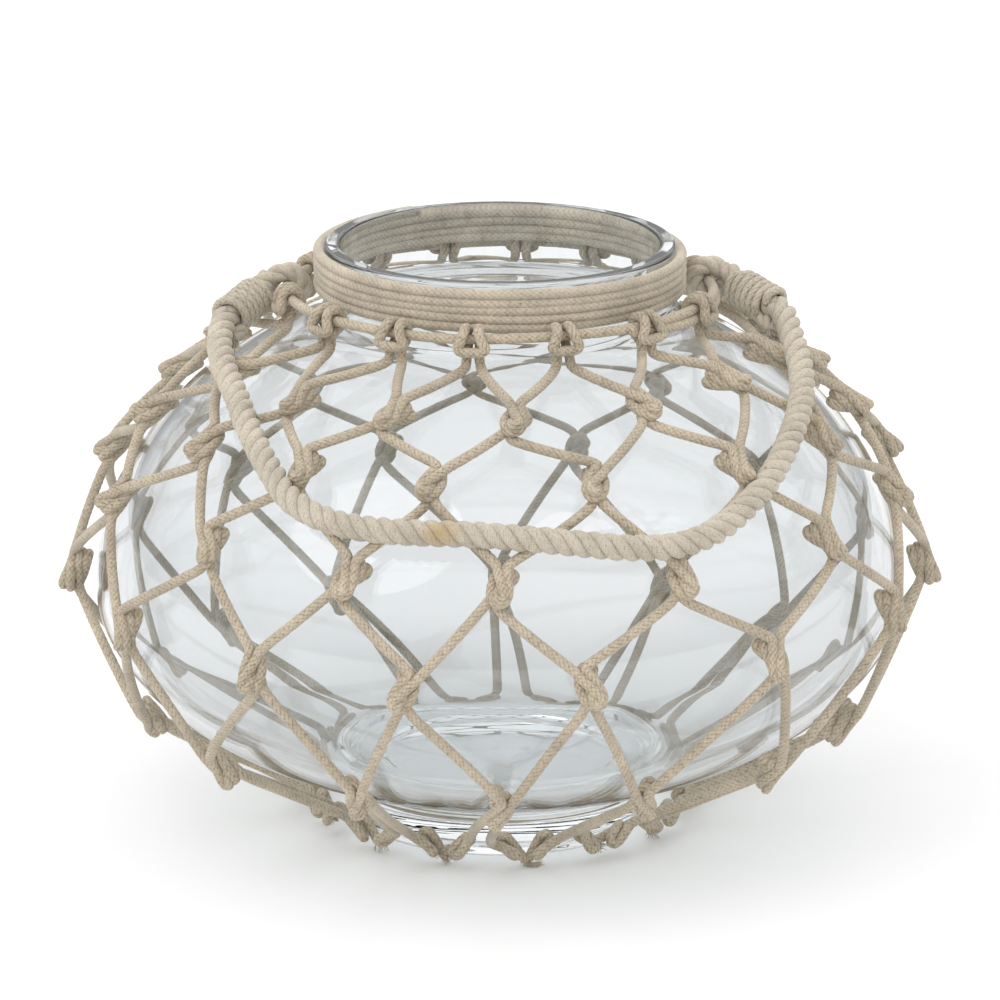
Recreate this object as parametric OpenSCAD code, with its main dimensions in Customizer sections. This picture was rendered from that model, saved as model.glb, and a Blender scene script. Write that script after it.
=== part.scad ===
// Hanging lantern: a clear glass vessel in a hand-knotted cord net, with a rope handle.
// The origin is the centre of the foot, on the surface that it stands on. +Z is up and -Y is the front,
// where the handle rests on the net. Angles round the vessel start at the front and grow towards +X.

/* [Glass vessel] */
// Height from the standing surface to the rim
vessel_h = 205; // [203:0.5:208]
// Largest outer radius, at the belly
belly_r = 141; // [140:0.5:142]
// Height of the widest place
belly_z = 84; // [83:0.5:85]
// Height of the rounded shoulder above the widest place
shoulder_h = 106; // [105:0.5:107]
// Depth of the rounded bowl below the widest place
bowl_h = 72; // [71.5:0.5:73]
// Outer radius of the neck
neck_r = 60.5; // [60:0.1:60.7]
// Radius of the opening
mouth_r = 55; // [54:0.5:56]
// Outer radius of the foot
foot_r = 55; // [54:0.5:56]
// Thickness of the wall of the belly
wall = 4; // [3.5:0.5:4.5]

/* [Neck wrap] */
// Number of turns of cord round the neck
wrap_turns = 5; // [4:1:5]
// Height that each turn takes
wrap_pitch = 3; // [2.9:0.1:3.1]
// Thickness of the wrap on the glass
wrap_t = 3.6; // [3.4:0.1:3.6]

/* [Net] */
// Diameter of the net cord
cord_d = 3.4; // [3.2:0.1:3.6]
// Diameter of a knot
knot_d = 9.2; // [8.8:0.2:9.4]
// Turn of the whole net round the vessel, in degrees
net_turn = -7.6; // [-9:0.2:-7]
// Further turn of each row of knots, in degrees
row_twist = -1; // [-1.2:0.1:-0.8]

/* [Handle] */
// Diameter of the handle rope
rope_d = 8.4; // [8:0.1:8.6]
// Turns of cord in each whipping
whip_turns = 6; // [5:1:6]

/* [Hidden] */

glass_colour = [0.80, 0.86, 0.88, 0.45];
cord_colour = [0.78, 0.71, 0.60];
knot_colour = [0.74, 0.66, 0.54];
rope_colour = [0.85, 0.80, 0.70];

clearance = 0.3;
cord_r = cord_d / 2;
knot_r = knot_d / 2;
rope_r = rope_d / 2;

// Vessel outline
bowl_power = 1.85;
blend_power = 12;
rim_round = 1.5;
foot_round = 3;
foot_recess_r = 44;
foot_recess_h = 2;
outline_step = 4;

// Ring cord: an oval, further from the neck where the handle pulls it out
ring_z = 188.4;
ring_side_x = 73.4;
ring_front_y = 68.8;
ring_side_r = 60;
ring_side_c = ring_side_x - ring_side_r;
ring_front_r = (pow(ring_side_c, 2) + pow(ring_front_y, 2) - pow(ring_side_r, 2))
               / (2 * (ring_front_y - ring_side_r));
ring_front_c = ring_front_r - ring_front_y;
ring_joint = atan2(ring_front_c, ring_side_c);
fold_r = cord_d + 0.1;

// Net: each cord hangs folded over the ring cord, and the top knots stand clear of the two eyes
net_cords = 14;
pitch = 360 / net_cords;
top_turn = [0, 25, 51, 76, 117, 137, 158, 181, 204, 228, 253, 289, 314, 338];
top_knot_out = 3.2;
top_knot_drop = 5.4;
fold_turn = 201;
fold_tilt = -11;
// Height of the glass under each row of knots, from row 1 down
row_z = [164, 146, 122, 91, 48];
front_gather = 4;
turn_scatter = 2;
height_scatter = 1.5;
end_knot_r = 64;
end_knot_z = 9;
end_knot_size = 3.8;
end_knot_turn = 5;
end_row_twist = -10;
// Where the strands touch the glass between knots, and how they leave the last row side by side
under_ring_z = 176;
strand_gap = 0.8;
leg_touch_z = 31;
leg_gap = 1;
leg_turn = 0.85;

// Handle: the eyes sit on the ring cord and the rope swings about the line through both
eye_left_turn = -92.4;
eye_right_turn = 100.2;
eye_rope_r = 3.3;
eye_hole_r = 1.9;
eye_face = 6.5;
pivot_l = 1;
cut_size = 40;
core_r = 4.9;
whip_pitch = 3.4;
whip_r = 7.2;
whip_start = 5.2;
whip_cord_r = 1.7;
splice_l = whip_start + whip_turns * whip_pitch;
tail_r = 2.4;
tail_l = 6;
tail_gap = 0.4;
tail_turn = 10;
rope_sides = 12;
// The route of the rope between the two splices, resting on the front of the net
rope_route = [
  [-94, -20, 182], [-95, -32, 178], [-93, -46, 173], [-88, -62, 167], [-83, -79, 160],
  [-76, -96, 152], [-68, -110, 145], [-56, -119, 141], [-42, -126, 140], [-26, -130, 140],
  [-9, -132, 140], [8, -133, 139], [25, -132, 137], [41, -130, 135], [56, -125, 134],
  [69, -117, 136], [80, -105, 141], [90, -89, 148], [97, -70, 156], [101, -52, 162],
  [102, -36, 168], [100, -22, 175], [97, -9, 182]
];

// The belly as a smooth curve of its own, narrower above and below the widest place
function curve_r(z, r, up, down) =
  let (t = abs(z - belly_z) / (z > belly_z ? up : down))
  t >= 1 ? 0 : r * sqrt(1 - pow(t, z > belly_z ? 2 : bowl_power));
// A curve blended into a neck or a foot of a given radius
function blend(a, b) = pow(pow(a, blend_power) + pow(b, blend_power), 1 / blend_power);
function outer_r(z) = blend(curve_r(z, belly_r, shoulder_h, bowl_h), z > belly_z ? neck_r : foot_r);
function inner_r(z) =
  let (r = curve_r(z, belly_r - wall, shoulder_h - wall, bowl_h - wall))
  z > belly_z ? blend(r, mouth_r) : r;
// The outward normal of the glass at height z, as [radial, vertical]
function outer_normal(z) = let (n = [1, (outer_r(z - 0.5) - outer_r(z + 0.5))]) n / norm(n);
// Corners of an outline along an arc of n steps
function arc(cx, cz, r, a0, a1, n) =
  [for (i = [0:n]) let (a = a0 + (a1 - a0) * i / n) [cx + r * cos(a), cz + r * sin(a)]];

// A point at radius r, turned from the front towards +X, at height z
function place(r, turn, z) = [r * sin(turn), -r * cos(turn), z];
// A point off the glass by a given distance, over the place at height z
function off_glass(z, turn, d) =
  let (n = outer_normal(z)) place(outer_r(z) + d * n[0], turn, z + d * n[1]);
function ring_r(turn) =
  let (dx = abs(sin(turn)), dy = abs(cos(turn)))
  let (side = atan2(ring_side_r * sin(ring_joint), ring_side_c + ring_side_r * cos(ring_joint)))
  atan2(dy, dx) < side
    ? ring_side_c * dx + sqrt(pow(ring_side_r, 2) - pow(ring_side_c * dy, 2))
    : -ring_front_c * dy + sqrt(pow(ring_front_r, 2) - pow(ring_front_c * dx, 2));

// A repeatable unevenness from -1 to 1, as in work tied by hand
function uneven(row, col, row_step, col_step) =
  sin(row * row_step + ((col + net_cords) % net_cords) * col_step);
// The net is gathered a little towards the front
function gathered(turn) = turn - front_gather * sin(turn);
function row_turn(row, col) =
  row == 0
    ? net_turn + top_turn[col]
    : gathered(net_turn + row * row_twist + (col + (row % 2) / 2) * pitch)
      + turn_scatter * uneven(row, col, 325, 2235);
function row_height(row, col) = row_z[row - 1] + height_scatter * uneven(row, col, 3111, 1744);
function knot_at(row, col) =
  row == 0
    ? place(ring_r(row_turn(0, col)) + top_knot_out, row_turn(0, col), ring_z - top_knot_drop)
    : off_glass(row_height(row, col), row_turn(row, col), knot_r + clearance);
function end_turn(col, side) = gathered(net_turn + end_row_twist + col * pitch) + side * end_knot_turn;
function end_at(col, side) = place(end_knot_r, end_turn(col, side), end_knot_z);

function eye_at(turn) = place(ring_r(turn), turn, ring_z);
swing_turn = let (d = eye_at(eye_right_turn) - eye_at(eye_left_turn)) atan2(d[1], d[0]);
function face_at(turn, side) = eye_at(turn) + side * eye_face * [cos(swing_turn), sin(swing_turn), 0];
left_face = face_at(eye_left_turn, -1);
right_face = face_at(eye_right_turn, 1);
function toward(a, b, d) = a + (b - a) * d / norm(b - a);
left_end = toward(left_face, rope_route[0], splice_l);
right_end = toward(right_face, rope_route[len(rope_route) - 1], splice_l);
rope_points = concat([left_end], rope_route, [right_end]);

// Turns the Z axis onto the direction v
module aim(v) {
  rotate([0, acos(v[2] / norm(v)), atan2(v[1], v[0])]) children();
}

// A round cord bent in one arc from a to b through m, cut short by trim_a and trim_b at its ends
module bent_cord(a, m, b, r, trim_a, trim_b) {
  u = (b - a) / norm(b - a);
  w = (m - a) - ((m - a) * u) * u;
  v = w / norm(w);
  half = norm(b - a) / 2;
  mx = (m - a) * u - half;
  my = (m - a) * v;
  cy = (mx * mx + my * my - half * half) / (2 * my);
  big = sqrt(half * half + cy * cy);
  side = cy < my ? 1 : -1;
  swing = atan2(half, -side * cy);
  n = cross(u, v);
  cut_a = 2 * asin(trim_a / (2 * big));
  cut_b = 2 * asin(trim_b / (2 * big));
  centre = (a + b) / 2 + cy * v;
  multmatrix([
    [u[0], v[0], n[0], centre[0]],
    [u[1], v[1], n[1], centre[1]],
    [u[2], v[2], n[2], centre[2]],
    [0, 0, 0, 1]
  ])
    rotate([0, 0, side * 90 - swing + (side > 0 ? cut_b : cut_a)])
      rotate_extrude(angle = 2 * swing - cut_a - cut_b, $fn = 96)
        translate([big, 0])
          circle(r = r, $fn = 32);
}

module glass_vessel() {
  outside = [for (z = [16:outline_step:vessel_h - rim_round - 1]) [outer_r(z), z]];
  inside = [for (z = [vessel_h - 19:-outline_step:belly_z - bowl_h + wall + 1]) [inner_r(z), z]];
  color(glass_colour)
    rotate_extrude($fn = 180)
      polygon(concat(
        [[0, foot_recess_h], [foot_recess_r, foot_recess_h], [foot_recess_r + foot_recess_h, 0]],
        arc(foot_r - foot_round, foot_round, foot_round, -90, 0, 5),
        outside,
        arc(neck_r - rim_round, vessel_h - rim_round, rim_round, 0, 90, 4),
        arc(mouth_r + rim_round, vessel_h - rim_round, rim_round, 90, 180, 4),
        inside,
        [[0, belly_z - bowl_h + wall]]
      ));
}

// The wound cord as one band on the neck, with a rounded bead for each turn
module neck_wrap() {
  top = vessel_h - 0.7;
  bottom = top - wrap_turns * wrap_pitch;
  bead = wrap_pitch / 2;
  color(cord_colour)
    rotate_extrude($fn = 180)
      polygon(concat(
        [[neck_r, top], [neck_r, bottom]],
        [for (i = [0:wrap_turns - 1])
          each arc(neck_r + wrap_t - bead, bottom + (i + 0.5) * wrap_pitch, bead, -88, 88, 8)]
      ));
}

module ring_cord() {
  color(cord_colour)
    translate([0, 0, ring_z])
      for (half = [0, 180])
        rotate([0, 0, half]) {
          translate([ring_side_c, 0, 0])
            rotate([0, 0, -ring_joint])
              rotate_extrude(angle = 2 * ring_joint, $fn = 96)
                translate([ring_side_r, 0])
                  circle(r = cord_r, $fn = 32);
          translate([0, -ring_front_c, 0])
            rotate([0, 0, ring_joint])
              rotate_extrude(angle = 180 - 2 * ring_joint, $fn = 96)
                translate([ring_front_r, 0])
                  circle(r = cord_r, $fn = 32);
        }
}

// One strand between two knots of the net
module net_strand(row, col, next_col) {
  first_z = row == 0 ? under_ring_z : row_height(row, col);
  first_turn = row_turn(row, col);
  step = row_turn(row + 1, next_col) - first_turn;
  turn = first_turn + (step > 180 ? step - 360 : step < -180 ? step + 360 : step) / 2;
  middle = off_glass((first_z + row_height(row + 1, next_col)) / 2, turn, cord_r + strand_gap);
  bent_cord(knot_at(row, col), middle, knot_at(row + 1, next_col), cord_r, knot_r, knot_r);
}

// One strand from the last row of the net to its end knot beside the foot
module end_strand(col, side, from_col) {
  start_turn = row_turn(5, from_col) - side * leg_turn;
  start = off_glass(row_height(5, from_col), start_turn, knot_r + clearance);
  middle = off_glass(leg_touch_z, (start_turn + end_turn(col, side)) / 2, cord_r + leg_gap);
  bent_cord(start, middle, end_at(col, side), cord_r, knot_r, end_knot_size);
}

// One cord: folded over the ring cord, its two strands run down the vessel side by side with its neighbours'
module net_cord(col) {
  turn = row_turn(0, col);
  color(cord_colour) {
    for (side = [-1, 1]) {
      rotate([0, 0, turn - 90])
        translate([ring_r(turn), side * (cord_r + 0.05), ring_z])
          rotate([90, 0, 0])
            rotate([0, 0, fold_tilt])
              rotate_extrude(angle = fold_turn, $fn = 96)
                translate([fold_r, 0])
                  circle(r = cord_r, $fn = 32);
      for (row = [0:4]) {
        odd_col = side > 0 ? col : col - 1;
        net_strand(row, row % 2 == 0 ? col : odd_col, row % 2 == 0 ? odd_col : col);
      }
      end_strand(col, side, side > 0 ? col : col - 1);
    }
  }
}

module knots_row(row) {
  color(knot_colour)
    for (col = [0:net_cords - 1])
      translate(knot_at(row, col))
        sphere(r = knot_r, $fn = 48);
}

module end_knots() {
  color(knot_colour)
    for (col = [0:net_cords - 1], side = [-1, 1])
      translate(end_at(col, side))
        sphere(r = end_knot_size, $fn = 48);
}

// A rope eye round the ring cord, flat where the swinging part of the handle meets it
module eye(turn, side) {
  color(rope_colour)
    translate(eye_at(turn))
      rotate([0, 0, swing_turn + (side < 0 ? 180 : 0)])
        intersection() {
          rotate([90, 0, 0])
            rotate_extrude($fn = 96)
              translate([eye_hole_r + eye_rope_r, 0])
                circle(r = eye_rope_r, $fn = 48);
          translate([eye_face - cut_size, -cut_size / 2, -cut_size / 2])
            cube(cut_size);
        }
}

// The doubled rope between the eye and the rope proper, with its cut tail beside the rope
module splice(face, end, side) {
  color(rope_colour) {
    difference() {
      union() {
        translate(face) sphere(r = rope_r, $fn = 48);
        translate(face)
          rotate([0, side * 90, swing_turn])
            cylinder(r = rope_r, h = pivot_l, $fn = 48);
        translate(face) aim(end - face) cylinder(r = rope_r, h = whip_start, $fn = 48);
        translate(toward(face, end, whip_start))
          aim(end - face)
            cylinder(r = core_r, h = splice_l - whip_start, $fn = 48);
      }
      translate(face)
        rotate([0, 0, swing_turn + (side < 0 ? 180 : 0)])
          translate([-cut_size, -cut_size / 2, -cut_size / 2])
            cube(cut_size);
    }
    translate(end)
      aim(end - face)
        rotate([0, 0, side < 0 ? tail_turn : tail_turn + 180])
          translate([-rope_r - tail_r - tail_gap, 0, 0])
            cylinder(r = tail_r, h = tail_l, $fn = 32);
  }
}

// The cord wound over a splice, as a band with a rounded bead for each turn
module whipping(face, end) {
  color(cord_colour)
    translate(toward(face, end, whip_start))
      aim(end - face)
        rotate_extrude($fn = 96)
          polygon(concat(
            [[core_r, whip_turns * whip_pitch], [core_r, 0]],
            [for (i = [0:whip_turns - 1])
              each arc(whip_r - whip_cord_r, (i + 0.5) * whip_pitch, whip_cord_r, -88, 88, 8)]
          ));
}

// A round rope along a list of points, as rings of corners joined by faces
module rope_along(points, r, sides) {
  last = len(points) - 1;
  corners = [
    for (i = [0:last])
      let (ahead = points[min(i + 1, last)] - points[max(i - 1, 0)])
      let (t = i == 0 ? points[0] - left_face : i == last ? right_face - points[last] : ahead)
      let (d = t / norm(t), side = cross([0, 0, 1], d), a = side / norm(side), b = cross(d, a))
      for (k = [0:sides - 1])
        points[i] + r * (cos(360 * k / sides) * a + sin(360 * k / sides) * b)
  ];
  skin = [
    for (i = [0:last - 1], k = [0:sides - 1])
      let (a = i * sides + k, b = i * sides + (k + 1) % sides)
      [a, a + sides, b + sides, b]
  ];
  cap = [for (k = [0:sides - 1]) k];
  end_cap = [for (k = [sides - 1:-1:0]) last * sides + k];
  polyhedron(points = corners, faces = concat([cap], skin, [end_cap]));
}

module handle_rope() {
  color(rope_colour) rope_along(rope_points, rope_r, rope_sides);
}

glass_vessel();
neck_wrap();
ring_cord();
net_cord(0);  // net_cord_01
net_cord(1);  // net_cord_02
net_cord(2);  // net_cord_03
net_cord(3);  // net_cord_04
net_cord(4);  // net_cord_05
net_cord(5);  // net_cord_06
net_cord(6);  // net_cord_07
net_cord(7);  // net_cord_08
net_cord(8);  // net_cord_09
net_cord(9);  // net_cord_10
net_cord(10);  // net_cord_11
net_cord(11);  // net_cord_12
net_cord(12);  // net_cord_13
net_cord(13);  // net_cord_14
knots_row(0);  // knots_row_0
knots_row(1);  // knots_row_1
knots_row(2);  // knots_row_2
knots_row(3);  // knots_row_3
knots_row(4);  // knots_row_4
knots_row(5);  // knots_row_5
end_knots();
eye(eye_left_turn, -1);  // eye_left
eye(eye_right_turn, 1);  // eye_right
splice(left_face, left_end, -1);  // splice_left
splice(right_face, right_end, 1);  // splice_right
whipping(left_face, left_end);  // whipping_left
whipping(right_face, right_end);  // whipping_right
handle_rope();
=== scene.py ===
# Hanging lantern: a clear glass vessel in a hand-knotted cotton net, with a laid rope handle.
# Lines are worked out in millimetres in the shared frame and turned into metres when a mesh is made.
# A turn is the angle round the vessel in degrees, from the front towards the viewer's right.
import bpy
import math
import numpy as np
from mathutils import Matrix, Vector


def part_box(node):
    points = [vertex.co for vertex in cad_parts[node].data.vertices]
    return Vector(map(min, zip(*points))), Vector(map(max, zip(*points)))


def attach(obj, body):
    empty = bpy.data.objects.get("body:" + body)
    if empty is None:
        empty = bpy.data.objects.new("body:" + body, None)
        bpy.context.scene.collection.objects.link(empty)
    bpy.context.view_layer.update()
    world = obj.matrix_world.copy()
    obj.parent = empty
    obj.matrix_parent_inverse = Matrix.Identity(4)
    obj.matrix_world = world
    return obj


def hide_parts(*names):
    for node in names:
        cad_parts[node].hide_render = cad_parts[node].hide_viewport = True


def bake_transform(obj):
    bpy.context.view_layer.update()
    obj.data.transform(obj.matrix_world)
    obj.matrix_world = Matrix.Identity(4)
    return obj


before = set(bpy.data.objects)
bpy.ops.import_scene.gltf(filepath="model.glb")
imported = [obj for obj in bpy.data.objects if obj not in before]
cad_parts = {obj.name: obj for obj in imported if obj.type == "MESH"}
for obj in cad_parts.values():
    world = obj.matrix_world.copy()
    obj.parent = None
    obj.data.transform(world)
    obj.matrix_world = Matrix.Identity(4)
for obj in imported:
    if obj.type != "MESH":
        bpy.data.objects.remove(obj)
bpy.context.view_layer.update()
COLLECTION = bpy.context.scene.collection
MM = 1000.0

# Sizes in millimetres and degrees
CORD_R = 1.7
BELLY_R, BELLY_Z, SHOULDER_H, BOWL_H, BOWL_POWER = 141.0, 84.0, 106.0, 72.0, 1.85
NECK_R, MOUTH_R, FOOT_R, WALL, VESSEL_H = 60.5, 55.0, 55.0, 4.0, 205.0
NET_TURN, NET_CORDS, ROWS = -7.6, 14, 6
EYE_R, EYE_FACE, EYE_LOOP_R = 8.5, 6.5, 5.3
SPLICE_L, WHIPPING_START, WHIPPING_R, WHIPPING_CORD_R, WHIPPING_TURNS = 25.6, 5.2, 5.7, 1.42, 6
WRAP_TURN, WRAP_TURNS, WRAP_TOP, WRAP_H, WRAP_CORD_R = 210, 4.75, 202.9, 13.2, 1.74
SECOND_START, SECOND_END, SECOND_DROP = 38, 99, 3.0
KNOT_REST = CORD_R + 0.1

# The route of the handle rope from left to right, in metres, as in the CAD
ROPE_ROUTE = [
    (-0.094, -0.020, 0.182), (-0.095, -0.032, 0.178), (-0.093, -0.046, 0.173), (-0.088, -0.062, 0.167),
    (-0.083, -0.079, 0.160), (-0.076, -0.096, 0.152), (-0.068, -0.110, 0.145), (-0.056, -0.119, 0.141),
    (-0.042, -0.126, 0.140), (-0.026, -0.130, 0.140), (-0.009, -0.132, 0.140), (0.008, -0.133, 0.139),
    (0.025, -0.132, 0.137), (0.041, -0.130, 0.135), (0.056, -0.125, 0.134), (0.069, -0.117, 0.136),
    (0.080, -0.105, 0.141), (0.090, -0.089, 0.148), (0.097, -0.070, 0.156), (0.101, -0.052, 0.162),
    (0.102, -0.036, 0.168), (0.100, -0.022, 0.175), (0.097, -0.009, 0.182),
]


# Vectors and lines

UP = np.array([0.0, 0.0, 1.0])


def unit(v):
    return v / np.maximum(np.linalg.norm(v, axis=-1, keepdims=True), 1e-9)


def lengths(line):
    return np.concatenate([[0.0], np.cumsum(np.linalg.norm(np.diff(line, axis=0), axis=1))])


def resample(line, step):
    along = lengths(line)
    count = max(int(round(along[-1] / step)), 3)
    at = np.linspace(0, along[-1], count + 1)
    return np.stack([np.interp(at, along, line[:, i]) for i in range(3)], 1)


def smooth(line, times):
    out = line.copy()
    for _ in range(times):
        out[1:-1] = 0.25 * out[:-2] + 0.5 * out[1:-1] + 0.25 * out[2:]
    return out


def curve_through(points, step):
    """A smooth line through the points, with points a step apart."""
    p = np.array(points, float)
    p = np.vstack([2 * p[0] - p[1], p, 2 * p[-1] - p[-2]])
    t = np.linspace(0, 1, 12, endpoint=False)[:, None]
    out = []
    for i in range(1, len(p) - 2):
        a, b, c, d = p[i - 1], p[i], p[i + 1], p[i + 2]
        out.append(b + 0.5 * t * (c - a + t * (2 * a - 5 * b + 4 * c - d + t * (3 * (b - c) + d - a))))
    out.append(p[-2][None])
    return resample(np.vstack(out), step)


def side_directions(line):
    """Two directions square to the line at each point, which turn as little as they can along it."""
    along = unit(np.gradient(line, axis=0))
    side = np.zeros_like(line)
    v = UP if abs(along[0][2]) < 0.9 else np.array([1.0, 0.0, 0.0])
    for i in range(len(line)):
        v = v - (v @ along[i]) * along[i]
        v = v / np.linalg.norm(v)
        side[i] = v
    return side, np.cross(along, side)


def place(r, turn, z):
    a = math.radians(turn)
    return np.array([r * math.sin(a), -r * math.cos(a), z])


def turn_of(p):
    return np.degrees(np.arctan2(p[..., 0], -p[..., 1])) % 360


# The outline of the glass

def curve_r(z, r, up, down):
    t = np.abs(z - BELLY_Z) / np.where(z > BELLY_Z, up, down)
    power = np.where(z > BELLY_Z, 2.0, BOWL_POWER)
    return r * np.sqrt(np.maximum(1 - np.minimum(t, 1) ** power, 0))


def blend_r(a, b):
    return (a ** 12 + b ** 12) ** (1 / 12)


def outer_r(z):
    z = np.asarray(z, float)
    return blend_r(curve_r(z, BELLY_R, SHOULDER_H, BOWL_H), np.where(z > BELLY_Z, NECK_R, FOOT_R))


def inner_r(z):
    z = np.asarray(z, float)
    r = curve_r(z, BELLY_R - WALL, SHOULDER_H - WALL, BOWL_H - WALL)
    return np.where(z > BELLY_Z, blend_r(r, MOUTH_R), r)


SKIN_Z = np.linspace(3, VESSEL_H, 700)
SKIN_R = outer_r(SKIN_Z)
SKIN_OUT = unit(np.stack([np.gradient(SKIN_Z), -np.gradient(SKIN_R)], 1))


def keep_off(line, gap):
    """Moves the points that are in the glass, or nearer to it than the gap, straight out of it."""
    r = np.hypot(line[:, 0], line[:, 1])
    dr = r[:, None] - SKIN_R[None]
    dz = line[:, 2][:, None] - SKIN_Z[None]
    j = (dr ** 2 + dz ** 2).argmin(1)
    pick = np.arange(len(line))
    out = SKIN_OUT[j]
    depth = gap - (dr[pick, j] * out[:, 0] + dz[pick, j] * out[:, 1])
    depth = np.maximum(depth, 0)
    flat = line[:, :2] / r[:, None]
    moved = line.copy()
    moved[:, :2] += flat * (depth * out[:, 0])[:, None]
    moved[:, 2] += depth * out[:, 1]
    return moved


# Meshes

GRAIN = np.random.default_rng(29)


class Skin:
    """Collects tubes and sheets of quads into one mesh, with a height for each corner."""

    def __init__(self):
        self.points = []
        self.quads = []
        self.heights = []
        self.count = 0

    def add(self, rings, heights):
        n, k = rings.shape[:2]
        at = self.count + np.arange(n * k).reshape(n, k)
        a = at[:-1]
        b = at[1:]
        self.points.append(rings.reshape(-1, 3))
        self.heights.append(heights.reshape(-1))
        quads = np.stack([a, np.roll(a, -1, 1), np.roll(b, -1, 1), b], -1).reshape(-1, 4)
        self.quads.append(quads)
        self.count += n * k

    def tube(self, line, radius, sides, relief=None, depth=0.0, closed_ends=True):
        """A round tube along a line. The relief is a function of length and angle, from 0 to 1."""
        side, up = side_directions(line)
        turn = np.arange(sides) * 2 * math.pi / sides
        along = lengths(line)
        height = np.ones((len(line), sides)) if relief is None else relief(along[:, None], turn[None])
        if relief is not None:
            height = height + GRAIN.normal(0, 0.16, height.shape)
        r = radius + depth * (height - 1)
        rings = line[:, None] + r[..., None] * (
            np.cos(turn)[None, :, None] * side[:, None] + np.sin(turn)[None, :, None] * up[:, None]
        )
        if closed_ends:
            ahead = unit(line[1] - line[0]) * radius * 0.35
            behind = unit(line[-1] - line[-2]) * radius * 0.35
            first = line[0] - ahead + (rings[0] - line[0]) * 0.55
            last = line[-1] + behind + (rings[-1] - line[-1]) * 0.55
            tip = np.repeat((line[0] - ahead * 1.2)[None], sides, 0) + (rings[0] - line[0]) * 0.01
            end = np.repeat((line[-1] + behind * 1.2)[None], sides, 0) + (rings[-1] - line[-1]) * 0.01
            rings = np.concatenate([tip[None], first[None], rings, last[None], end[None]])
            height = np.concatenate([height[:1], height[:1], height, height[-1:], height[-1:]])
        self.add(rings, height)

    def build(self, name, material):
        points = np.vstack(self.points) / MM
        quads = np.vstack(self.quads)
        mesh = bpy.data.meshes.new(name)
        mesh.vertices.add(len(points))
        mesh.vertices.foreach_set("co", points.astype(np.float32).ravel())
        mesh.loops.add(quads.size)
        mesh.loops.foreach_set("vertex_index", quads.astype(np.int32).ravel())
        mesh.polygons.add(len(quads))
        mesh.polygons.foreach_set("loop_start", np.arange(0, quads.size, 4, dtype=np.int32))
        mesh.polygons.foreach_set("use_smooth", np.ones(len(quads), bool))
        mesh.update(calc_edges=True)
        heights = mesh.attributes.new("relief", "FLOAT", "POINT")
        heights.data.foreach_set("value", np.concatenate(self.heights).astype(np.float32))
        mesh.materials.append(material)
        piece = bpy.data.objects.new(name, mesh)
        COLLECTION.objects.link(piece)
        return piece


def braid(carriers, length):
    """The pillows of a round braid: carriers round the cord, each pillow so long."""
    def relief(along, turn):
        u = carriers * turn / (2 * math.pi) + along / length
        v = carriers * turn / (2 * math.pi) - along / length
        return (np.abs(np.sin(math.pi * u)) * np.abs(np.sin(math.pi * v))) ** 0.45
    return relief


def yarns(count, twist):
    """The yarns on one strand of a laid rope, which turn once round it in the twist's length."""
    def relief(along, turn):
        return np.abs(np.cos(0.5 * count * (turn + 2 * math.pi * along / twist))) ** 0.6
    return relief


BRAID = braid(6, 2.1)
CORD_STEP = 0.45
CORD_SIDES = 24


def add_cord(skin, line, radius=CORD_R, closed_ends=True):
    """A braided cord along a line."""
    skin.tube(resample(line, CORD_STEP), radius + 0.05, CORD_SIDES, BRAID, 0.2, closed_ends)


def add_laid_rope(skin, line, strand_r, lay_r, pitch, start=0.0):
    """Three strands laid round a line."""
    line = resample(line, 0.7)
    side, up = side_directions(line)
    along = lengths(line)
    for strand in range(3):
        angle = start + 2 * math.pi * (strand / 3 + along / pitch)
        path = line + lay_r * (np.cos(angle)[:, None] * side + np.sin(angle)[:, None] * up)
        path = resample(path, 0.45)
        skin.tube(path, strand_r + 0.08, 40, yarns(12, 12.0), 0.2)


def add_fray(skin, root, direction, length, spread, count, seed, radius=0.13):
    """Loose fibres that spread from a cut end and stay above the floor."""
    rng = np.random.default_rng(seed)
    side, up = side_directions(np.array([root, root + direction, root + 2 * direction]))
    for _ in range(count):
        a = rng.uniform(0, 2 * math.pi)
        r = math.sqrt(rng.uniform(0, 1))
        out = math.cos(a) * side[0] + math.sin(a) * up[0]
        bend = rng.normal(0, 0.5, 3)
        t = np.linspace(0, 1, 7)[:, None]
        reach = length * rng.uniform(0.6, 1.1)
        fibre = root + out * r * spread * (0.75 + 0.7 * t * t) + direction * reach * t + bend * t * t * spread
        fibre[:, 2] = np.maximum(fibre[:, 2], radius + 0.05)
        skin.tube(fibre, radius, 5, None, 0.0, False)


# Materials

def new_material(name):
    material = bpy.data.materials.new(name)
    material.use_nodes = True
    tree = material.node_tree
    shader = tree.nodes["Principled BSDF"]
    return material, tree, shader


def node(tree, kind, **values):
    made = tree.nodes.new(kind)
    for key, value in values.items():
        setattr(made, key, value)
    return made


def ramp(tree, source, stops):
    made = node(tree, "ShaderNodeValToRGB")
    elements = made.color_ramp.elements
    elements[0].position = stops[0][0]
    elements[0].color = stops[0][1]
    elements[1].position = stops[-1][0]
    elements[1].color = stops[-1][1]
    for at, colour in stops[1:-1]:
        elements.new(at).color = colour
    tree.links.new(source, made.inputs["Fac"])
    return made.outputs["Color"]


def noise(tree, coords, scale, detail, rough):
    made = node(tree, "ShaderNodeTexNoise")
    made.inputs["Scale"].default_value = scale
    made.inputs["Detail"].default_value = detail
    made.inputs["Roughness"].default_value = rough
    tree.links.new(coords, made.inputs["Vector"])
    return made.outputs["Fac"]


def mixed(tree, factor, a, b, kind="MIX"):
    made = node(tree, "ShaderNodeMix", data_type="RGBA", blend_type=kind)
    for socket, value in ((made.inputs["Factor"], factor), (made.inputs[6], a), (made.inputs[7], b)):
        if isinstance(value, (int, float, tuple)):
            socket.default_value = value
        else:
            tree.links.new(value, socket)
    return made.outputs[2]


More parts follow.
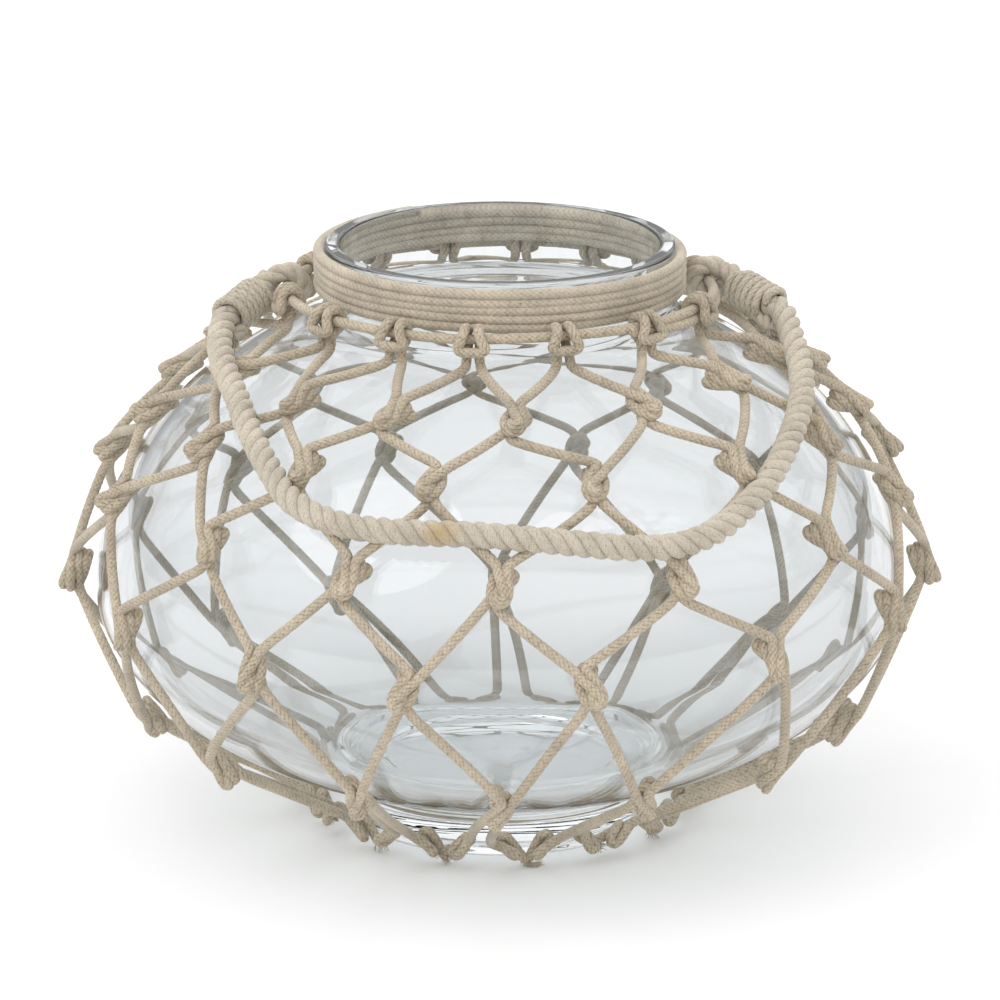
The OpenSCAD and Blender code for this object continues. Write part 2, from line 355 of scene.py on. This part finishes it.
def grey(v):
    return (v, v, v, 1.0)


def cotton(name, light, dark, fleck_amount, stain=None):
    """Natural cotton with seed flecks, and painted shade: lighter on the crowns of the yarns, darker between
    them.
    """
    material, tree, shader = new_material(name)
    coords = node(tree, "ShaderNodeTexCoord").outputs["Object"]
    relief = node(tree, "ShaderNodeAttribute", attribute_name="relief").outputs["Fac"]
    # Painted shade: the colour runs from the dark value where the relief is low, between the yarns, to the
    # light value on their crowns.
    painted_crease_shade = ramp(tree, relief, [(0.05, (*dark, 1)), (0.75, (*light, 1))])
    patch = ramp(tree, noise(tree, coords, 60, 3, 0.6), [(0.3, grey(0.60)), (0.7, grey(0.82))])
    fibre = ramp(tree, noise(tree, coords, 2600, 4, 0.7), [(0.25, grey(0.72)), (0.7, grey(1.12))])
    flecks = ramp(tree, noise(tree, coords, 750, 2, 0.5), [(0.70 - fleck_amount, grey(0)), (0.78, grey(1))])
    colour = mixed(tree, 1.0, painted_crease_shade, patch, "MULTIPLY")
    colour = mixed(tree, 1.0, colour, fibre, "MULTIPLY")
    colour = mixed(tree, flecks, colour, (0.20, 0.12, 0.07, 1))
    if stain is not None:
        away = node(tree, "ShaderNodeVectorMath", operation="DISTANCE")
        tree.links.new(coords, away.inputs[0])
        away.inputs[1].default_value = stain
        spot = ramp(tree, away.outputs["Value"], [(0.0015, grey(0.75)), (0.0065, grey(0))])
        colour = mixed(tree, spot, colour, (0.46, 0.30, 0.10, 1))
    tree.links.new(colour, shader.inputs["Base Color"])
    bump = node(tree, "ShaderNodeBump")
    bump.inputs["Strength"].default_value = 0.35
    bump.inputs["Distance"].default_value = 0.0004
    tree.links.new(noise(tree, coords, 3200, 3, 0.7), bump.inputs["Height"])
    tree.links.new(bump.outputs["Normal"], shader.inputs["Normal"])
    shader.inputs["Roughness"].default_value = 0.9
    shader.inputs["Specular IOR Level"].default_value = 0.2
    shader.inputs["Sheen Weight"].default_value = 0.25
    return material


def clear_glass():
    """Refracting glass, with painted shade that makes it a little darker where it is seen at a low angle."""
    material, tree, shader = new_material("clear_glass")
    coords = node(tree, "ShaderNodeTexCoord").outputs["Object"]
    tints = [(0.3, (0.805, 0.825, 0.835, 1)), (0.7, (0.84, 0.855, 0.862, 1))]
    tint = ramp(tree, noise(tree, coords, 9, 2, 0.5), tints)
    # Painted shade: the glass colour darkens towards its outline, where it is seen at a low angle.
    facing = node(tree, "ShaderNodeLayerWeight")
    facing.inputs["Blend"].default_value = 0.35
    shades = [(0.62, grey(1.0)), (0.86, grey(0.66)), (1.0, (0.36, 0.39, 0.42, 1))]
    painted_edge_shade = ramp(tree, facing.outputs["Facing"], shades)
    tree.links.new(mixed(tree, 1.0, tint, painted_edge_shade, "MULTIPLY"), shader.inputs["Base Color"])
    shader.inputs["Roughness"].default_value = 0.0
    shader.inputs["IOR"].default_value = 1.5
    shader.inputs["Transmission Weight"].default_value = 1.0
    let_light_through(tree, shader)
    return material


MOST_BOUNCES = 5.5


def let_light_through(tree, shader):
    """Light reaches the cords behind the glass, and light caught in the thick foot gets out."""
    path = node(tree, "ShaderNodeLightPath")
    deep = node(tree, "ShaderNodeMath", operation="GREATER_THAN")
    tree.links.new(path.outputs["Ray Depth"], deep.inputs[0])
    deep.inputs[1].default_value = MOST_BOUNCES
    either = node(tree, "ShaderNodeMath", operation="MAXIMUM")
    tree.links.new(path.outputs["Is Shadow Ray"], either.inputs[0])
    tree.links.new(path.outputs["Is Diffuse Ray"], either.inputs[1])
    clear = node(tree, "ShaderNodeMath", operation="MAXIMUM")
    tree.links.new(either.outputs[0], clear.inputs[0])
    tree.links.new(deep.outputs[0], clear.inputs[1])
    plain = node(tree, "ShaderNodeBsdfTransparent")
    plain.inputs["Color"].default_value = (0.93, 0.945, 0.95, 1)
    either_way = node(tree, "ShaderNodeMixShader")
    tree.links.new(clear.outputs[0], either_way.inputs[0])
    tree.links.new(shader.outputs[0], either_way.inputs[1])
    tree.links.new(plain.outputs[0], either_way.inputs[2])
    tree.links.new(either_way.outputs[0], tree.nodes["Material Output"].inputs["Surface"])


def pale_floor():
    material, tree, shader = new_material("pale_floor")
    coords = node(tree, "ShaderNodeTexCoord").outputs["Object"]
    shade = ramp(tree, noise(tree, coords, 3, 2, 0.5), [(0.3, grey(0.93)), (0.7, grey(0.95))])
    tree.links.new(shade, shader.inputs["Base Color"])
    shader.inputs["Roughness"].default_value = 1.0
    shader.inputs["Specular IOR Level"].default_value = 0.0
    return material


NET_COTTON = cotton("net_cotton", (0.80, 0.69, 0.53), (0.40, 0.305, 0.20), 0.02)
# The knot cotton is the net cotton a little darker, most of all between the yarns: painted shade for the
# tight knots.
KNOT_COTTON = cotton("knot_cotton", (0.78, 0.67, 0.51), (0.34, 0.25, 0.16), 0.03)
WRAP_COTTON = cotton("wrap_cotton", (0.83, 0.73, 0.58), (0.52, 0.42, 0.30), 0.01)
STAIN = (-0.0195, -0.136, 0.142)
ROPE_COTTON = cotton("rope_cotton", (0.86, 0.77, 0.63), (0.44, 0.35, 0.245), 0.0, STAIN)
GLASS = clear_glass()


# The camera looks down on the front, from 17 degrees above the horizontal

LENS, SENSOR, SHIFT_UP, FAR = 185.7, 36.0, 0.0336, 50
CAMERA_AT = (0, -1.7213, 0.6263)
CAMERA_TILT = 73


def make_camera():
    data = bpy.data.cameras.new("camera")
    data.lens = LENS
    data.sensor_width = SENSOR
    data.shift_y = SHIFT_UP
    data.clip_end = FAR
    camera = bpy.data.objects.new("camera", data)
    camera.location = CAMERA_AT
    camera.rotation_euler = (math.radians(CAMERA_TILT), 0, 0)
    COLLECTION.objects.link(camera)
    bpy.context.scene.camera = camera


make_camera()


# Places of the eyes and the ends of the rope, from the frame

def eye_centre(name, side):
    low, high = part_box(name)
    low = np.array(low) * MM
    high = np.array(high) * MM
    middle = (low + high) / 2
    middle[0] = high[0] - EYE_R if side < 0 else low[0] + EYE_R
    return middle


EYES = {-1: eye_centre("eye_left", -1), 1: eye_centre("eye_right", 1)}
SWING = unit(EYES[1] - EYES[-1])
FACES = {side: EYES[side] + side * EYE_FACE * SWING for side in (-1, 1)}


def rope_end(side):
    """Where the rope leaves its splice, on the way to the first point of its route."""
    towards = np.array(ROPE_ROUTE[0] if side < 0 else ROPE_ROUTE[-1]) * MM
    return FACES[side] + unit(towards - FACES[side]) * SPLICE_L


ENDS = {side: rope_end(side) for side in (-1, 1)}


# The handle

def make_handle_rope():
    route = [ENDS[-1]] + [np.array(p) * MM for p in ROPE_ROUTE] + [ENDS[1]]
    line = curve_through(route, 1.0)
    skin = Skin()
    add_laid_rope(skin, line, 2.05, 2.32, 15.8)
    rope = skin.build("rope", ROPE_COTTON)
    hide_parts("handle_rope")
    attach(rope, "handle")


def make_eye(name, side):
    """A loop of the rope round the ring cord, which opens towards the handle."""
    centre = EYES[side]
    out = side * SWING
    angles = np.radians(np.linspace(34, 326, 60))
    loop = centre + EYE_LOOP_R * (np.cos(angles)[:, None] * out + np.sin(angles)[:, None] * UP)
    lead = np.array([FACES[side] + 2.4 * UP, FACES[side] - 2.4 * UP])
    line = smooth(resample(np.vstack([lead[:1], loop, lead[1:]]), 1.0), 4)
    skin = Skin()
    add_laid_rope(skin, line, 1.75, 1.7, 16.0, 0.5)
    eye = skin.build(name, ROPE_COTTON)
    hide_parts(name)
    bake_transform(eye)


def splice_directions(side):
    """Directions along a splice, upwards and across it."""
    axis = unit(ENDS[side] - FACES[side])
    up = unit(np.cross(axis, np.cross(UP, axis)))
    return axis, up, np.cross(axis, up)


def make_splice(name, side):
    """The rope and its folded-back tail inside the whipping, and the frayed cut end beside the rope."""
    face = FACES[side]
    end = ENDS[side]
    axis, up, across = splice_directions(side)
    t = np.linspace(0, 1, 20)[:, None]
    join = 1 - (3 * t ** 2 - 2 * t ** 3)
    main = face + axis * SPLICE_L * t + up * 2.3 * join
    tail_at = -up * 4.6 + across * side * 3.6
    low = face - up * 2.4
    tail = low + (end + tail_at - low) * t
    ahead = np.linspace(0.8, 4.0, 5)[:, None]
    apart = np.linspace(0.02, 0.2, 5)[:, None]
    beyond = tail[-1] + axis * ahead + tail_at * apart
    skin = Skin()
    add_laid_rope(skin, np.vstack([face - axis * 1.0 + up * 2.3, main]), 1.95, 2.0, 15.8, 0.5)
    add_laid_rope(skin, np.vstack([low - axis * 1.0, tail, beyond]), 1.25, 1.2, 14.0, 0.2)
    direction = unit(beyond[-1] - beyond[-2])
    add_fray(skin, beyond[-1] - direction * 1.2, direction, 6.5, 2.2, 130, 5 + side)
    splice = skin.build(name, ROPE_COTTON)
    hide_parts(name)
    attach(splice, "handle")


def make_whipping(name, side):
    """Cord wound tight over the doubled rope, with both ends tucked in."""
    face = FACES[side]
    axis, up, across = splice_directions(side)
    length = SPLICE_L - WHIPPING_START
    t = np.linspace(0, 1, WHIPPING_TURNS * 40)
    angle = 2 * math.pi * WHIPPING_TURNS * t + (2.0 if side < 0 else 0.6)
    r = WHIPPING_R + 0.12 * np.sin(3.1 * angle) + 0.1 * np.sin(0.7 * angle)
    at = WHIPPING_START + CORD_R * 0.9 + (length - CORD_R * 1.8) * t
    around = np.cos(angle)[:, None] * up + np.sin(angle)[:, None] * across
    line = face + axis * at[:, None] + r[:, None] * around
    first = line[0] - unit(line[1] - line[0]) * 2 - unit(line[0] - face - axis * at[0]) * 2.5
    last = line[-1] + unit(line[-1] - line[-2]) * 2 - unit(line[-1] - face - axis * at[-1]) * 2.5
    skin = Skin()
    add_cord(skin, smooth(resample(np.vstack([first, line, last]), 0.5), 3), WHIPPING_CORD_R)
    whipping = skin.build(name, ROPE_COTTON)
    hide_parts(name)
    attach(whipping, "handle")


make_handle_rope()
make_eye("eye_left", -1)
make_eye("eye_right", 1)
make_splice("splice_left", -1)
make_splice("splice_right", 1)
make_whipping("whipping_left", -1)
make_whipping("whipping_right", 1)


# The glass vessel

def arc(cx, cz, r, start, end, count):
    a = np.radians(np.linspace(start, end, count))
    return np.stack([cx + r * np.cos(a), cz + r * np.sin(a)], 1)


def make_vessel():
    """The outline of the glass, from under the foot up the outside and down the inside, turned round."""
    z_out = np.concatenate([
        np.linspace(7, 11.6, 8),
        11.7 + 10 * np.linspace(0, 1, 90) ** 2.5,
        np.linspace(22.5, VESSEL_H - 2.5, 150),
    ])
    wall = resample(np.stack([outer_r(z_out), z_out, 0 * z_out], 1), 0.8)
    wall = smooth(wall, 12)[:, :2]
    z_in = np.linspace(VESSEL_H - 2.6, BELLY_Z - BOWL_H + WALL + 1.2, 150)
    outline = np.vstack([
        [[0.02, 2.2], [20, 2.2], [38, 2.1]],
        arc(42, 0.6, 1.5, 90, 35, 6),
        arc(46.5, 3.1, 3.1, -120, -90, 4),
        arc(FOOT_R - 3, 3, 3, -90, 0, 12),
        wall,
        arc(NECK_R - 1.5, VESSEL_H - 1.5, 1.5, 0, 90, 8),
        arc(MOUTH_R + 1.5, VESSEL_H - 1.5, 1.5, 90, 180, 8),
        np.stack([inner_r(z_in), z_in], 1),
        [[20, 16.4], [12, 16.1], [0.02, 16.0]],
    ])
    sides = 320
    a = np.arange(sides) * 2 * math.pi / sides
    ring = np.stack([np.sin(a), -np.cos(a)], 1)
    rings = np.concatenate([
        outline[:, None, :1] * ring[None],
        np.repeat(outline[:, None, 1:], sides, 1),
    ], 2)
    skin = Skin()
    skin.add(rings, np.ones((len(outline), sides)))
    vessel = skin.build("vessel", GLASS)
    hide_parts("glass_vessel")
    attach(vessel, "root")


make_vessel()


# The neck wrap and the ring cord

def make_wrap():
    """One cord wound round the neck, with its cut end at the back."""
    t = np.linspace(0, 1, 1400)
    turn = WRAP_TURN + 360 * WRAP_TURNS * t
    r = NECK_R + 1.85 + 0.1 * np.sin(np.radians(turn * 2.3)) + 0.08 * np.sin(np.radians(turn * 5.7))
    z = WRAP_TOP - WRAP_H * t + 0.18 * np.sin(np.radians(turn * 1.37)) + 0.12 * np.sin(np.radians(turn * 4.1))
    a = np.radians(turn)
    line = np.stack([r * np.sin(a), -r * np.cos(a), z], 1)
    skin = Skin()
    add_cord(skin, line, WRAP_CORD_R)
    add_fray(skin, line[0], unit(line[0] - line[1]), 1.6, 1.3, 40, 3, 0.1)
    wrap = skin.build("wrap", WRAP_COTTON)
    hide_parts("neck_wrap")
    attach(wrap, "root")


def node_points(name):
    """The corners of a CAD node's mesh, in millimetres."""
    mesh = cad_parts[name].data
    points = np.empty(len(mesh.vertices) * 3, np.float32)
    mesh.vertices.foreach_get("co", points)
    matrix = np.array(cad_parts[name].matrix_world)
    points = points.reshape(-1, 3).astype(float)
    return (points @ matrix[:3, :3].T + matrix[:3, 3]) * MM


def ring_profile():
    """The turns, the radius of the ring cord's middle line at each of them, and its height."""
    points = node_points("ring_cord")
    turn = turn_of(points)
    r = np.hypot(points[:, 0], points[:, 1])
    centres = np.arange(0, 360, 7.5)
    middles = []
    for c in centres:
        near = np.abs((turn - c + 180) % 360 - 180) < 5
        middles.append((r[near].max() + r[near].min()) / 2)
    return centres, np.array(middles), (points[:, 2].max() + points[:, 2].min()) / 2


RING_TURNS, RING_RADII, RING_Z = ring_profile()


def ring_r(turn):
    return np.interp(turn, RING_TURNS, RING_RADII, period=360)


def make_ring():
    """The cord round the neck, doubled for a stretch on the right."""
    turn = np.linspace(0, 360, 700)
    wave = 0.25 * np.sin(np.radians(turn * 3)) + 0.15 * np.sin(np.radians(turn * 7))
    a = np.radians(turn)
    r = ring_r(turn)
    line = np.stack([r * np.sin(a), -r * np.cos(a), RING_Z + wave], 1)
    skin = Skin()
    add_cord(skin, smooth(line, 4), CORD_R, False)
    turn = np.linspace(SECOND_START, SECOND_END, 200)
    a = np.radians(turn)
    part = np.clip((turn - SECOND_START) / (SECOND_END - SECOND_START), 0, 1)
    drop = SECOND_DROP * np.sin(np.pi * part) ** 0.35
    r = ring_r(turn) + 0.8
    second = np.stack([r * np.sin(a), -r * np.cos(a), RING_Z - drop], 1)
    add_cord(skin, smooth(second, 6), CORD_R)
    ring = skin.build("ring", NET_COTTON)
    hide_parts("ring_cord")
    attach(ring, "root")


make_wrap()
make_ring()


# Overhand knots, drawn tight as ropes that push on each other and on the glass behind

def loose_overhand(strands, count, scale):
    """A wide open overhand knot of one rope, or of two side by side."""
    t = np.linspace(-2.3, 2.3, count)
    x = (t ** 4 - 4 * t ** 2) * scale
    y = (t ** 5 / 5 - 2 * t) * scale * 1.05
    z = -(t ** 3 - 3 * t) * scale * 1.15
    line = np.stack([x, y, z], 1)
    if strands == 1:
        return line[None]
    flat = unit(np.cross(unit(np.gradient(line, axis=0)), [0.0, 1.0, 0.0]))
    return np.stack([line - flat * 1.9, line + flat * 1.9])


def even_out(p, want):
    """Moves neighbours along each rope towards their wanted distance."""
    for first in (0, 1):
        a = p[:, first:-1:2]
        b = p[:, first + 1::2]
        m = min(a.shape[1], b.shape[1])
        d = b[:, :m] - a[:, :m]
        change = d * (0.5 * (1 - want / np.maximum(np.linalg.norm(d, axis=2, keepdims=True), 1e-6)))
        p[:, first:first + 2 * m:2] += change
        p[:, first + 1:first + 1 + 2 * m:2] -= change


def push_apart(p, radius, skip):
    """Moves ropes that run into each other apart."""
    flat = p.reshape(-1, 3)
    d = flat[:, None] - flat[None]
    far = np.sqrt((d ** 2).sum(2)) + 1e-9
    over = np.where(skip, 0, np.maximum(2 * radius - far, 0))
    push = (d * (over / far)[:, :, None] * 0.5).sum(1)
    touching = np.maximum((over > 0).sum(1), 1)
    return (flat + push / np.sqrt(touching)[:, None] * 0.9).reshape(p.shape)


def tighten(ropes, spread, reach, steps, final, radius, back):
    """Draws the ropes to their final length between ends that move to a spread and a reach."""
    k, n, _ = ropes.shape
    p = ropes.copy()
    home = np.zeros((k, 2, 3))
    for i in range(k):
        side = (2 * i - 1) * spread if k == 2 else 0.0
        home[i, 0] = [side, 0.5, reach]
        home[i, 1] = [-side, 0.5, -reach]
    start = p[:, [0, -1]].copy()
    length = np.linalg.norm(np.diff(p, axis=1), axis=2).sum(1).mean()
    index = np.arange(n)
    same = np.abs(index[:, None] - index[None])
    for s in range(steps):
        a = min(1.0, s / (0.35 * steps))
        a = a * a * (3 - 2 * a)
        b = min(1.0, s / (0.8 * steps))
        want = (length * (1 - b) + final * b) / (n - 1)
        ends = start * (1 - a) + home * a
        for _ in range(3):
            p[:, [0, -1]] = ends
            even_out(p, want)
        p[:, [0, -1]] = ends
        p[:, 1:-1] += 0.35 * (0.5 * (p[:, :-2] + p[:, 2:]) - p[:, 1:-1])
        skip = np.zeros((k * n, k * n), bool)
        for i in range(k):
            skip[i * n:(i + 1) * n, i * n:(i + 1) * n] = same <= max(2.0, 2.5 * radius / want)
        for _ in range(2):
            p = push_apart(p, radius, skip)
        p[:, :, 1] = np.clip(p[:, :, 1], back, 9.0)
    return p


def knot_core(ropes, half_height):
    """The part of the knot within a height of its middle, centred."""
    cut = []
    for rope in ropes:
        rope = smooth(resample(rope, 0.5), 4)
        inside = np.nonzero(np.abs(rope[:, 2]) < half_height)[0]
        cut.append(rope[inside[0]:inside[-1] + 1])
    every = np.vstack(cut)
    body = every[np.abs(every[:, 2]) < half_height - 2]
    shift = np.array([(body[:, 0].max() + body[:, 0].min()) / 2, 0, 0])
    return [rope - shift for rope in cut]


LOOSE_SIZE, REACH, GLASS_BEHIND = 7.5, 20, -3.2
TIGHT_DOUBLE = tighten(
    loose_overhand(2, 110, LOOSE_SIZE), 1.75, REACH, steps=600, final=76, radius=1.35, back=GLASS_BEHIND
)
TIGHT_SINGLE = tighten(
    loose_overhand(1, 80, LOOSE_SIZE), 0, REACH, steps=500, final=56, radius=1.45, back=GLASS_BEHIND
)
DOUBLE = knot_core(TIGHT_DOUBLE, half_height=6.4)
SINGLE = knot_core(TIGHT_SINGLE, half_height=5.2)


# Knot centres, from the frame

def knot_centres(name, count, first_turn):
    """The centres of a row of knots in order round the vessel, starting at or after a turn."""
    points = node_points(name)
    turn = (turn_of(points) - first_turn) % 360
    order = np.argsort(turn)
    points = points[order]
    turn = turn[order]
    gaps = np.diff(turn)
    cuts = np.sort(np.argsort(gaps)[-(count - 1):]) + 1
    groups = np.split(points, cuts)
    return [(g.max(0) + g.min(0)) / 2 for g in groups]


def local_frame(centre, normal):
    """Directions to the side, outwards and up at a knot."""
    a = math.radians(float(turn_of(centre)))
    side = np.array([math.cos(a), math.sin(a), 0.0])
    out = np.array([normal[0] * math.sin(a), -normal[0] * math.cos(a), normal[1]])
    return side, out, np.cross(out, side)


def glass_normal(centre):
    r = math.hypot(centre[0], centre[1])
    j = ((SKIN_R - r) ** 2 + (SKIN_Z - centre[2]) ** 2).argmin()
    return SKIN_OUT[j]


RNG = np.random.default_rng(11)
ROW_TILT, ROW_SIZE, TOP_TILT, END_TILT = 24, (0.86, 0.94), 0.06, (40, 70)
END_KNOT_SIZE, LONG_FRAY = 1.15, 9.0
ROW_START = NET_TURN - 10
ODD_ROW_TURN = 12.9
END_START = -28
KNOTS = {}
for row in range(ROWS):
    KNOTS[row] = knot_centres(f"knots_row_{row}", NET_CORDS, ROW_START + (ODD_ROW_TURN if row % 2 else 0))
END_CENTRES = knot_centres("end_knots", 2 * NET_CORDS, END_START)
# Where each strand enters and leaves each knot, and its direction there
ENTRY = {}
LEAVE = {}


def set_in_place(ropes, centre, normal, tilt, mirror, size):
    """Turns, mirrors and sizes a knot and puts it at its centre."""
    side, out, up = local_frame(centre, normal)
    c, s = math.cos(tilt), math.sin(tilt)
    placed = []
    for rope in ropes:
        x = rope[:, 0] * mirror * size
        y = rope[:, 1] * size
        z = rope[:, 2] * size
        x, z = x * c - z * s, x * s + z * c
        placed.append(centre + x[:, None] * side + y[:, None] * out + z[:, None] * up)
    return placed, side


def tie_row(row):
    """The overhand knots of one row, each tied with both strands together."""
    skin = Skin()
    for col, centre in enumerate(KNOTS[row]):
        tilt = math.radians(RNG.uniform(-ROW_TILT, ROW_TILT))
        mirror = 1 if RNG.uniform() < 0.55 else -1
        size = RNG.uniform(*ROW_SIZE)
        ropes, side = set_in_place(DOUBLE, centre, glass_normal(centre), tilt, mirror, size)
        ropes = [keep_off(rope, KNOT_REST) for rope in ropes]
        for rope in ropes:
            add_cord(skin, rope, CORD_R - 0.05)
        tops = sorted(ropes, key=lambda rope: (rope[0] - centre) @ side)
        feet = sorted(ropes, key=lambda rope: (rope[-1] - centre) @ side)
        for i, hand in enumerate((-1, 1)):
            ENTRY[(row, col, hand)] = (tops[i][0], unit(tops[i][1] - tops[i][0]))
            LEAVE[(row, col, hand)] = (feet[i][-1], unit(feet[i][-1] - feet[i][-2]))
    knots = skin.build(f"knots_row_{row}", KNOT_COTTON)
    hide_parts(f"knots_row_{row}")
    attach(knots, "root")


# Half of a lark's head from the top of its loop to its strand: sideways, out from the ring cord and up
HALF_LARK = [
    (0, 4.4, -3.7), (-3.0, 4.4, -3.6), (-4.7, 4.0, -2.5), (-3.6, 3.8, -0.4),
    (-2.5, 2.6, 2.6), (-2.2, 0, 3.5), (-2.2, -2.4, 2.6), (-2.1, -3.5, 0),
    (-2.0, -2.7, -2.6), (-2.0, -0.4, -4.4), (-2.1, 0.9, -6.2), (-2.4, 1.3, -8.6),
]


def tie_top_row():
    """Each cord folded over the ring cord, both strands passed through its own loop."""
    skin = Skin()
    for col, centre in enumerate(KNOTS[0]):
        turn = float(turn_of(centre))
        middle = place(float(ring_r(turn)), turn, RING_Z)
        side, out, up = local_frame(middle, (1.0, 0.0))
        tilt = RNG.uniform(-TOP_TILT, TOP_TILT)
        for hand in (-1, 1):
            points = np.array(HALF_LARK, float)
            x = points[:, 0] * -hand + points[:, 2] * tilt
            line = middle + x[:, None] * side + points[:, 1:2] * out + points[:, 2:3] * up
            line = curve_through(line, 0.4)
            add_cord(skin, line, CORD_R)
            LEAVE[(0, col, hand)] = (line[-1], unit(line[-1] - line[-2]))
    knots = skin.build("knots_row_0", KNOT_COTTON)
    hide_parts("knots_row_0")
    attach(knots, "root")


FRAYED_END = 2


def tie_end_knots():
    """The small knot at the end of each strand, with its cut stub."""
    skin = Skin()
    for i, centre in enumerate(END_CENTRES):
        tilt = math.radians(RNG.uniform(*END_TILT)) * (1 if i % 2 == 0 else -1)
        mirror = 1 if RNG.uniform() < 0.5 else -1
        ropes, side = set_in_place(SINGLE, centre, (0.95, -0.3), tilt, mirror, END_KNOT_SIZE)
        line = keep_off(ropes[0], KNOT_REST)
        tip = unit(line[-1] - line[-2])
        line = np.vstack([line, line[-1] + tip * np.linspace(0.5, RNG.uniform(1.0, 3.0), 4)[:, None]])
        line[:, 2] = np.maximum(line[:, 2], KNOT_REST)
        line = smooth(line, 2)
        add_cord(skin, line, CORD_R)
        direction = unit(line[-1] - line[-3])
        frayed = i == FRAYED_END
        length = LONG_FRAY if frayed else RNG.uniform(1.0, 3.5)
        add_fray(skin, line[-1], direction, length, 1.5, 60 if frayed else 30, i, 0.12)
        ENTRY[("end", i)] = (line[0], unit(line[1] - line[0]))
    knots = skin.build("end_knots", KNOT_COTTON)
    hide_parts("end_knots")
    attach(knots, "root")


def strand_between(start, end):
    """A strand from one knot to the next, drawn tight over the glass."""
    (p0, t0), (p1, t1) = start, end
    a = p0 + t0 * 1.6
    b = p1 - t1 * 1.6
    turn0 = float(turn_of(a))
    step = (float(turn_of(b)) - turn0 + 180) % 360 - 180
    t = np.linspace(0, 1, 44)
    turn = np.radians(turn0 + step * t)
    r = np.hypot(a[0], a[1]) * (1 - t) + np.hypot(b[0], b[1]) * t
    z = a[2] * (1 - t) + b[2] * t
    line = np.stack([r * np.sin(turn), -r * np.cos(turn), z], 1)
    line = np.vstack([p0, p0 + t0 * 0.8, line, p1 - t1 * 0.8, p1])
    for _ in range(8):
        inner = smooth(line, 2)
        inner[2:-2] = keep_off(inner[2:-2], CORD_R + 0.15)
        line[2:-2] = inner[2:-2]
    return smooth(line, 1)


def end_index(col, hand):
    return 2 * col + (1 if hand > 0 else 0)


def make_net_cord(col):
    """The two strands of one cord, from the ring cord down to the foot."""
    skin = Skin()
    for hand in (-1, 1):
        odd = (col if hand > 0 else col - 1) % NET_CORDS
        for row in range(ROWS - 1):
            if row % 2 == 0:
                line = strand_between(LEAVE[(row, col, hand)], ENTRY[(row + 1, odd, -hand)])
            else:
                line = strand_between(LEAVE[(row, odd, -hand)], ENTRY[(row + 1, col, hand)])
            add_cord(skin, line)
        add_cord(skin, strand_between(LEAVE[(ROWS - 1, odd, -hand)], ENTRY[("end", end_index(col, hand))]))
    name = f"net_cord_{col + 1:02d}"
    cord = skin.build(name, NET_COTTON)
    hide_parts(name)
    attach(cord, "root")


tie_top_row()
for row in range(1, ROWS):
    tie_row(row)
tie_end_knots()
for col in range(NET_CORDS):
    make_net_cord(col)


# The floor and the light

def make_stage():
    mesh = bpy.data.meshes.new("floor")
    mesh.from_pydata([(-9, -9, 0), (9, -9, 0), (9, 9, 0), (-9, 9, 0)], [], [(0, 1, 2, 3)])
    mesh.materials.append(pale_floor())
    floor = bpy.data.objects.new("floor", mesh)
    floor.location = (0, 0, -0.0002)
    COLLECTION.objects.link(floor)


def aim_at(thing, place_at, target):
    thing.location = place_at
    thing.rotation_euler = (Vector(target) - Vector(place_at)).to_track_quat("-Z", "Y").to_euler()


def make_key_light():
    data = bpy.data.lights.new("key", "AREA")
    data.shape = "DISK"
    data.size = 2.4
    data.energy = 18
    lamp = bpy.data.objects.new("key", data)
    aim_at(lamp, (-1.5, -1.3, 2.3), (0, 0, 0.1))
    COLLECTION.objects.link(lamp)


def make_world():
    """White all round, with a darker band low down that gives the glass its dark edges."""
    world = bpy.data.worlds.new("world")
    world.use_nodes = True
    bpy.context.scene.world = world
    tree = world.node_tree
    coords = node(tree, "ShaderNodeTexCoord").outputs["Generated"]
    split = node(tree, "ShaderNodeSeparateXYZ")
    tree.links.new(coords, split.inputs[0])
    sky = ramp(tree, split.outputs["Z"], [(0.0, grey(0.20)), (0.12, grey(0.45)), (0.4, grey(1.0))])
    tree.links.new(sky, tree.nodes["Background"].inputs["Color"])
    tree.nodes["Background"].inputs["Strength"].default_value = 1.2


make_stage()
make_key_light()
make_world()
bpy.context.scene.view_settings.view_transform = "Standard"
